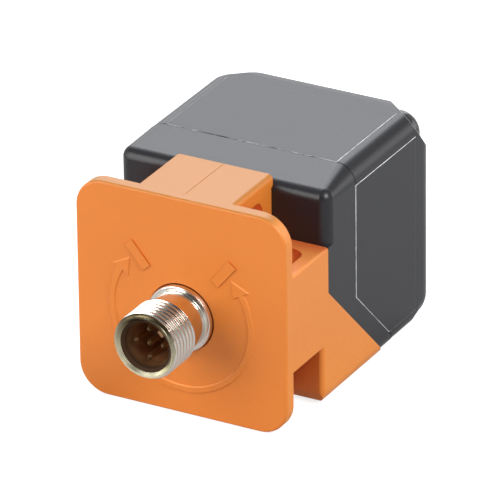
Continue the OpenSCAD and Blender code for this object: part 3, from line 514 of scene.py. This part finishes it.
def shrunk(outline, inset):
    """A closed outline moved inwards, corner by corner; the outline runs anticlockwise."""
    sharpest = 0.6
    result = []
    for i, (x, z) in enumerate(outline):
        (ax, az), (bx, bz) = outline[i - 1], outline[(i + 1) % len(outline)]
        first = Vector((x - ax, z - az)).normalized()
        second = Vector((bx - x, bz - z)).normalized()
        normal = Vector((-first.y, first.x)) + Vector((-second.y, second.x))
        reach = inset * 2 / max(normal.length_squared, sharpest)
        result.append((x + normal.x * reach, z + normal.y * reach))
    return result


def raised(mesh, outline, tiles):
    """A flat figure that stands proud of the end plate, with sloping sides and a top made of tiles."""
    base = [mesh.verts.new(at(x, MARK_FOOT, z)) for x, z in outline]
    top = [mesh.verts.new(at(x, -MARK_HEIGHT, z)) for x, z in shrunk(outline, MARK_SLOPE)]
    for i in range(len(outline)):
        mesh.faces.new((base[i - 1], base[i], top[i], top[i - 1]))
    for tile in tiles:
        mesh.faces.new([top[i] for i in tile])


def on_circle(radius, degrees):
    """A point of the end plate, by its distance from the plug's axis and its angle from +X."""
    angle = math.radians(degrees)
    return radius * math.cos(angle), AXIS_Z + radius * math.sin(angle)


def double_arrow(mesh):
    """Arc under the plug's axis, with an arrowhead at each end."""
    inner, outer, head_in, head_out, middle = 12.6, 13.9, 11.3, 15.1, 13.2
    tip, neck, straight_down, steps = 136.5, 151.0, 270, 96
    far_tip, far_neck = 2 * straight_down - tip, 2 * straight_down - neck
    arc = [neck + i * (far_neck - neck) / steps for i in range(steps + 1)]
    outline = [on_circle(middle, tip), on_circle(head_out, neck)]
    outline += [on_circle(outer, a) for a in arc]
    outline += [on_circle(head_out, far_neck), on_circle(middle, far_tip), on_circle(head_in, far_neck)]
    outline += [on_circle(inner, a) for a in reversed(arc)]
    outline += [on_circle(head_in, neck)]
    # Places in the outline of the arc's four corners, and of the far tip
    outer_near, outer_far = 2, steps + 2
    inner_far, inner_near = steps + 6, 2 * steps + 6
    point = outer_far + 2
    tiles = [(outer_near + k, outer_near + k + 1, inner_near - k - 1, inner_near - k) for k in range(steps)]
    tiles += [(0, 1, outer_near), (0, outer_near, inner_near), (0, inner_near, inner_near + 1)]
    tiles += [(point, outer_far, outer_far + 1), (point, inner_far, outer_far), (point, point + 1, inner_far)]
    raised(mesh, outline, tiles)


def turning_mark():
    """Raised double arrow round the plug, with a bar at each end of its range."""
    mesh = bmesh.new()
    double_arrow(mesh)
    bar_angle, bar_start, bar_end, bar_half = 129.8, 10.25, 15.3, 0.72
    for degrees in (bar_angle, 180 - bar_angle):
        along = Vector((math.cos(math.radians(degrees)), math.sin(math.radians(degrees))))
        across = Vector((along.y, -along.x))
        corners = [along * r + across * s for r, s in (
            (bar_start, -bar_half), (bar_end, -bar_half), (bar_end, bar_half), (bar_start, bar_half))]
        raised(mesh, [(c.x, c.y + AXIS_Z) for c in corners], [(0, 1, 2, 3)])
    add_piece("turning_mark", mesh, "sensor", "orange_moulding", 25)


def chamber_lining():
    """Thin plastic sleeve along the chamber's wall and over the cone of its mouth."""
    mesh = bmesh.new()
    gap, inside, bend = 0.02, 0.1, 0.04
    lip_inner, lip_outer = (RIM_Y + 0.52, MOUTH_R - 0.6), (RIM_Y + 0.47, MOUTH_R - 0.48)
    outline = [
        (CHAMBER_FLOOR, BORE_R - inside), (MOUTH_END + bend, BORE_R - inside), lip_inner, lip_outer,
        (MOUTH_END, BORE_R - gap), (CHAMBER_FLOOR, BORE_R - gap), (CHAMBER_FLOOR, BORE_R - inside),
    ]
    turn_outline(mesh, outline, full_turn(144))
    add_piece("chamber_lining", mesh, "plug", "carrier_plastic", 35, lining_finish())


def panel_edges():
    """Bevels with a painted highlight along the borders of the four raised panels, open towards the sensing
    face.
    """
    mesh = bmesh.new()
    spread, inset, lift, root = 0.1, 0.05, 0.01, 0.15
    level = [(-PANEL_HALF, PANEL_END), (-PANEL_HALF, PART_Y), (PANEL_HALF, PART_Y), (PANEL_HALF, PANEL_END)]
    under = [(x, PART_FOOT if y == PART_Y else y) for x, y in level]
    low, high = HALF - PANEL_HALF, HALF + PANEL_HALF
    upright = [(PANEL_END, high), (PART_Y, high), (PART_Y, PART_FOOT - PART_Y), (PART_FOOT - low, low),
               (PANEL_END, low)]
    places = [
        (level, lambda u, v, d: at(u, v, TOP - d)), (under, lambda u, v, d: at(u, v, d)),
        (upright, lambda u, v, d: at(HALF - d, u, v)), (upright, lambda u, v, d: at(d - HALF, u, v)),
    ]
    for outline, place in places:
        lines = ((outline, 0.0), (shrunk(outline, -spread), PANEL_RISE + lift),
                 (shrunk(outline, inset), root), (outline, 0.0))
        rows = [[place(*spot, depth) for spot in line] for line, depth in lines]
        net(mesh, rows)
        for i in (0, -1):
            mesh.faces.new([mesh.verts.new(row[i]) for row in rows[:3]])
    add_piece("panel_edges", mesh, "sensor", "black_moulding", 20, edge_highlight_finish())


def within(point):
    """True inside the head's outer form with rounded rear corners, for a point from the head's axis."""
    depth = point.y - SENSING_FACE_Y + FACE_EDGE_R
    if depth >= FACE_EDGE_R:
        return False
    reach = math.sqrt(FACE_EDGE_R ** 2 - max(0.0, depth) ** 2)
    growth = max(0.0, min(1.0, 1 + depth / EDGE_TAPER))
    radius = (LONG_EDGE_R + (CORNER_R - LONG_EDGE_R) * growth) * reach / FACE_EDGE_R
    centre = HALF - PANEL_RISE - FACE_EDGE_R + reach - radius
    return math.hypot(max(0.0, abs(point.x) - centre), max(0.0, abs(point.z) - centre)) <= radius


def form_reach(start, way):
    """Distance from a point inside the head's outer form to its surface, found by halving."""
    low, high, halvings = 0.0, HALF, 24
    for _ in range(halvings):
        middle = (low + high) / 2
        if within(start + way * middle):
            low = middle
        else:
            high = middle
    return low


def cut_corner(sx, sz):
    """A cut rear corner, seen from the head's axis: its middle, the way out of it and two ways along it."""
    middle = Vector((sx * CUT_MIDDLE.x, CUT_MIDDLE.y, sz * CUT_MIDDLE.z))
    out = Vector((sx * CUT_NORMAL.x, CUT_NORMAL.y, sz * CUT_NORMAL.z))
    along = out.orthogonal().normalized()
    return middle, out, along, out.cross(along)


def from_axis(spot):
    """A point of the frame, from one given in millimetres from the head's axis."""
    return at(spot.x, spot.y, spot.z + HALF)


def lower_corners():
    """The cap's lower rear corners, rounded as in the photograph where the solids are cut."""
    mesh = bmesh.new()
    root, lifts = 0.02, 36
    for side in (-1, 1):
        middle, out, along, across = cut_corner(side, -1)
        foot = middle - out * root
        rows = []
        for lift in (math.pi / 2 * i / lifts for i in range(lifts + 1)):
            ways = [(along * math.cos(a) + across * math.sin(a)) * math.cos(lift) + out * math.sin(lift)
                    for a in full_turn(144)]
            rows.append([from_axis(foot + way * form_reach(foot, way)) for way in ways])
        net(mesh, rows)
        mesh.faces.new([mesh.verts.new(spot) for spot in rows[0][:-1]])
    add_piece("lower_corners", mesh, "sensor", "black_moulding", 50)


def window_beads():
    """Fine bead round the foot of each upper domed window, light grey as a painted highlight."""
    mesh = bmesh.new()
    ring_r, cord_r, rise = 3.06, 0.13, 0.05
    for side in (-1, 1):
        middle, out, along, across = cut_corner(side, 1)
        rows = []
        for turn in full_turn(8):
            radius = ring_r + cord_r * math.cos(turn)
            centre = middle + out * (rise + cord_r * math.sin(turn))
            rows.append([from_axis(centre + (along * math.cos(a) + across * math.sin(a)) * radius)
                         for a in full_turn(72)])
        net(mesh, rows)
    # Light grey bead finish: a painted highlight on the black moulding
    add_piece("window_beads", mesh, "sensor", "smoked_window", 60,
              moulded("bead_painted_highlight", rgb(150, 150, 155), rough=0.24, grain=0.3, depth=0.002))


shell = plug_shell()
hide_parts("connector_shell")
chamber_lining()
turning_mark()
panel_edges()
lower_corners()
window_beads()


# Floor, light and camera


def floor_finish():
    """Pale floor that looks white to the eye and in reflections, and keeps the shadow."""
    f = Finish("floor_pale")
    seen = f.node("LightPath", output="Is Camera Ray")
    mirrored = f.node("LightPath", output="Is Glossy Ray") + f.node("LightPath", output="Is Transmission Ray")
    f.set(Base_Color=(0.52, 0.52, 0.52), Roughness=0.9, Specular_IOR_Level=0.0,
          Emission_Color=WHITE, Emission_Strength=seen * 0.8 + mirrored * 0.06)
    return f.material


def add_floor():
    """A wide floor, a little under the part so that their faces don't meet."""
    half_width, gap = 3.0, 0.1 * MM
    mesh = bmesh.new()
    bmesh.ops.create_grid(mesh, x_segments=8, y_segments=8, size=half_width)
    data = bpy.data.meshes.new("floor")
    mesh.to_mesh(data)
    mesh.free()
    data.materials.append(floor_finish())
    floor = bpy.data.objects.new("floor", data)
    floor.location.z = -gap
    bpy.context.scene.collection.objects.link(floor)


def add_world():
    """Surroundings that are bright at the horizon, dimmer overhead and in front, and white to the eye."""
    horizon, mirror_gain, top_loss, front_loss, darkest = 0.58, 0.12, 0.4, 0.7, 0.02
    front_way, front_focus = Vector((0.2, -0.93, 0.32)).normalized(), 6.0
    world = bpy.data.worlds.new("studio")
    bpy.context.scene.world = world
    world.use_nodes = True
    tree = world.node_tree
    background = tree.nodes["Background"]
    path = tree.nodes.new("ShaderNodeLightPath")
    sky = tree.nodes.new("ShaderNodeTexCoord")
    parts = tree.nodes.new("ShaderNodeSeparateXYZ")
    tree.links.new(sky.outputs["Generated"], parts.inputs[0])
    up = Value(tree, parts.outputs["Z"])
    seen = Value(tree, path.outputs["Is Camera Ray"])
    mirrored = Value(tree, path.outputs["Is Glossy Ray"]) + Value(tree, path.outputs["Is Transmission Ray"])
    towards = tree.nodes.new("ShaderNodeVectorMath")
    towards.operation = "DOT_PRODUCT"
    towards.inputs[1].default_value = front_way
    tree.links.new(sky.outputs["Generated"], towards.inputs[0])
    ahead = Value(tree, towards.outputs["Value"])
    front = ahead.math("POWER", ahead.math("MAXIMUM", ahead, 0.0), front_focus)
    around = horizon + mirrored * mirror_gain - up.math("MAXIMUM", up, 0.0) * top_loss - front * front_loss
    level = seen + (1 - seen) * around.math("MAXIMUM", around, darkest)
    connect(tree, background.inputs["Color"], WHITE)
    connect(tree, background.inputs["Strength"], level)


def add_lamp(name, place, width, height, watts, colour=WHITE):
    """A soft box of some size in metres, turned to the part's middle, which the eye doesn't see."""
    data = bpy.data.lights.new(name, "AREA")
    data.color = colour
    data.shape = "RECTANGLE"
    data.size, data.size_y, data.energy = width, height, watts
    lamp = bpy.data.objects.new(name, data)
    lamp.location = place
    aim = Vector((0.0, 0.0, HALF * MM))
    lamp.rotation_euler = (aim - Vector(place)).to_track_quat("-Z", "Y").to_euler()
    lamp.visible_camera = False
    bpy.context.scene.collection.objects.link(lamp)


def add_camera():
    """The photograph's camera: a long lens, a little above and to the right of the plug's side."""
    aim = Vector((0.0, -0.65, 20.0)) * MM
    azimuth, elevation, roll = math.radians(29.0556), math.radians(26.1017), math.radians(-0.7226)
    # Focal length and the picture's width and offset in pixels, and the distance from the aim
    focal, picture, offset_right, offset_up = 6842.75, 500, 11.02, 9.97
    distance = 1156.42 * MM
    back = Vector((math.sin(azimuth) * math.cos(elevation), -math.cos(azimuth) * math.cos(elevation),
                   math.sin(elevation)))
    level = Vector((0, 0, 1)).cross(back).normalized()
    rise = back.cross(level)
    right = level * math.cos(roll) + rise * math.sin(roll)
    up = rise * math.cos(roll) - level * math.sin(roll)
    pixel = distance / focal
    place = aim + back * distance + right * (offset_right * pixel) + up * (offset_up * pixel)
    data = bpy.data.cameras.new("camera")
    data.sensor_width = 36.0
    data.lens = data.sensor_width * focal / picture
    data.clip_start, data.clip_end = 0.05, 20.0
    camera = bpy.data.objects.new("camera", data)
    camera.matrix_world = Matrix((
        (right.x, up.x, back.x, place.x), (right.y, up.y, back.y, place.y), (right.z, up.z, back.z, place.z),
        (0, 0, 0, 1)))
    bpy.context.scene.collection.objects.link(camera)
    bpy.context.scene.camera = camera


add_floor()
add_world()
add_lamp("key_left", (-0.45, -0.73, 0.34), 0.42, 0.74, 4.75)
add_lamp("left_panel", (-0.74, -0.38, 0.18), 0.42, 0.42, 1.1)
add_lamp("back_low", (-0.399, 0.719, 0.313), 0.7, 0.42, 1.65, COOL_WHITE)
add_lamp("back_high", (-0.329, 0.507, 0.656), 0.7, 0.4, 4.25, COOL_WHITE)
add_lamp("side_right", (0.6, -0.2, 0.6), 0.4, 0.35, 5.4)
add_lamp("rim_right", (0.5, 0.7, 0.12), 0.5, 0.42, 1.0)
add_camera()
bpy.context.scene.view_settings.view_transform = "Standard"
